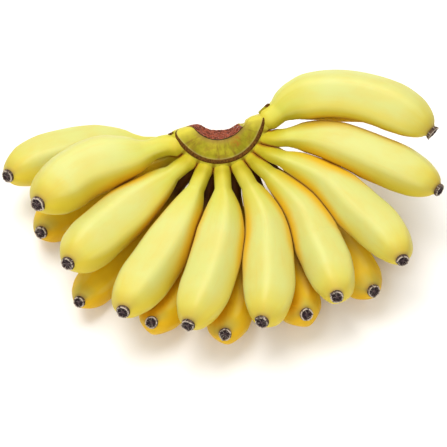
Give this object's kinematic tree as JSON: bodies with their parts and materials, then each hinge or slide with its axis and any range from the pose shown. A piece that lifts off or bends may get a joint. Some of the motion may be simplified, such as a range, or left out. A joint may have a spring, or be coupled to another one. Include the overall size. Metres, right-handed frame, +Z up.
{
  "type": "hand of apple bananas",
  "caption": "Hand of apple bananas: short plump yellow fingers fanned in rows from a cut crown, each tipped with a dried flower end, lying on its lower fingers.",
  "frame": {"origin": "under the middle of the hand's box, on the surface that it lies on", "axes": "+X across the fan of fingers, +Y from the fingertips towards the crown, +Z up"},
  "size_m": [0.3029, 0.1845, 0.1136],
  "materials": {
    "peel_top": "satin lemon-yellow peel with paler broad ridges, greener towards the stalk",
    "peel_under": "satin golden peel, deeper amber on the shaded flanks",
    "dried_flower": "rough dry purple-brown with a grey rim",
    "crown_tissue": "waxy olive green with brown scar band and a dark red-brown cut"
  },
  "bodies": {
    "root": {"crown": "crown_tissue", "finger_top_1": "peel_top", "flower_end_top_1": "dried_flower", "finger_top_2": "peel_top", "flower_end_top_2": "dried_flower", "finger_top_3": "peel_top", "flower_end_top_3": "dried_flower", "finger_top_4": "peel_top", "flower_end_top_4": "dried_flower", "finger_top_5": "peel_top", "flower_end_top_5": "dried_flower", "finger_top_6": "peel_top", "flower_end_top_6": "dried_flower", "finger_top_7": "peel_top", "flower_end_top_7": "dried_flower", "finger_top_8": "peel_top", "flower_end_top_8": "dried_flower", "finger_top_9": "peel_top", "flower_end_top_9": "dried_flower", "finger_under_1": "peel_under", "flower_end_under_1": "dried_flower", "finger_under_2": "peel_under", "flower_end_under_2": "dried_flower", "finger_under_3": "peel_under", "flower_end_under_3": "dried_flower", "finger_under_4": "peel_under", "flower_end_under_4": "dried_flower", "finger_under_5": "peel_under", "flower_end_under_5": "dried_flower", "finger_under_6": "peel_under", "flower_end_under_6": "dried_flower", "finger_under_7": "peel_under", "flower_end_under_7": "dried_flower", "finger_under_8": "peel_under", "flower_end_under_8": "dried_flower", "finger_under_9": "peel_under", "flower_end_under_9": "dried_flower"}
  },
  "joints": []
}
